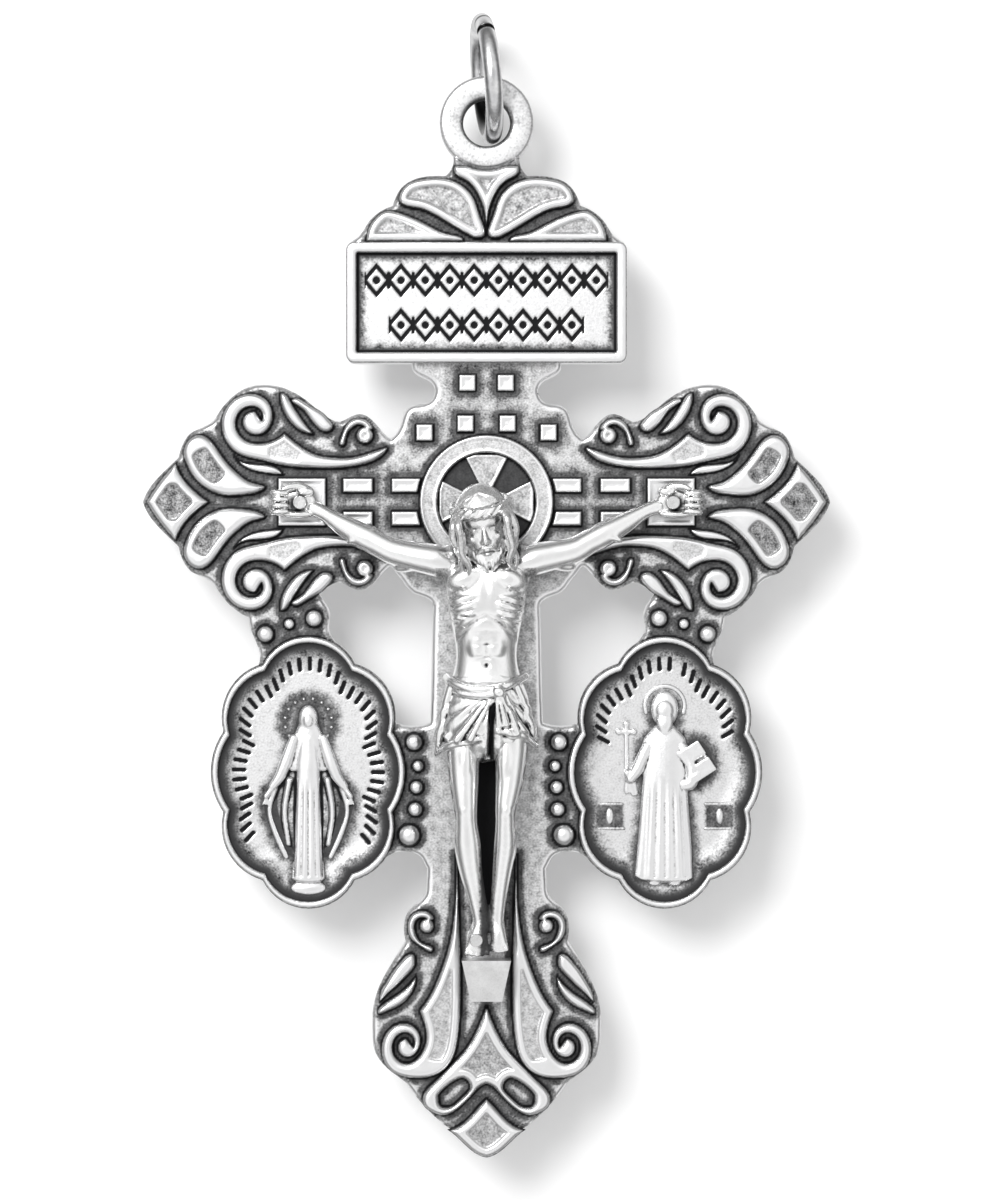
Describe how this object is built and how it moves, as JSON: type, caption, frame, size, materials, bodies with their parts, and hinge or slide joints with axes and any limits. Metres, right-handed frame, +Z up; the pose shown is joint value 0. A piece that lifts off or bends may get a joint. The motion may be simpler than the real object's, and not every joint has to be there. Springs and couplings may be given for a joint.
{
  "type": "pendant crucifix",
  "caption": "Cast pendant crucifix with scrolled arm ends, two oval medals under the arms, a title plaque and a jump ring.",
  "frame": {"origin": "centre of the jump ring's eye, where a cord or chain holds the pendant", "axes": "+Z up along the hanging cross, -Y out of its front, +X to the viewer's right"},
  "size_m": [0.0344, 0.0082, 0.0573],
  "materials": {
    "antique_casting": "darkened in the recesses, satin on top",
    "bright_casting": "satin, darkened in the deepest folds",
    "nail_metal": "satin",
    "ring_wire": "drawn wire, satin"
  },
  "bodies": {
    "ring": {"jump_ring": "ring_wire"},
    "cross": {"cross_plate": "antique_casting", "crest_leaves": "antique_casting", "title_plaque": "antique_casting", "crossing_tiles": "antique_casting", "nimbus": "antique_casting", "right_arm_petals": "antique_casting", "right_arm_scrolls": "antique_casting", "right_arm_leaves": "antique_casting", "left_arm_petals": "antique_casting", "left_arm_scrolls": "antique_casting", "left_arm_leaves": "antique_casting", "foot_scrolls": "antique_casting", "foot_leaves": "antique_casting", "foot_palmette": "antique_casting", "right_medal_beads": "antique_casting", "left_medal_beads": "antique_casting", "left_medal_frame": "antique_casting", "right_medal_frame": "antique_casting", "left_medal_figure": "antique_casting", "right_medal_figure": "antique_casting", "corpus": "bright_casting", "foot_rest": "antique_casting", "left_hand_nail": "nail_metal", "right_hand_nail": "nail_metal", "foot_nail": "nail_metal"}
  },
  "joints": [
    {"name": "side_swing", "type": "hinge", "parent": "ring", "child": "cross", "pos_m": [0, 0, -0.00224], "axis": [0, 1, 0], "range_deg": [-100, 100]}
  ]
}
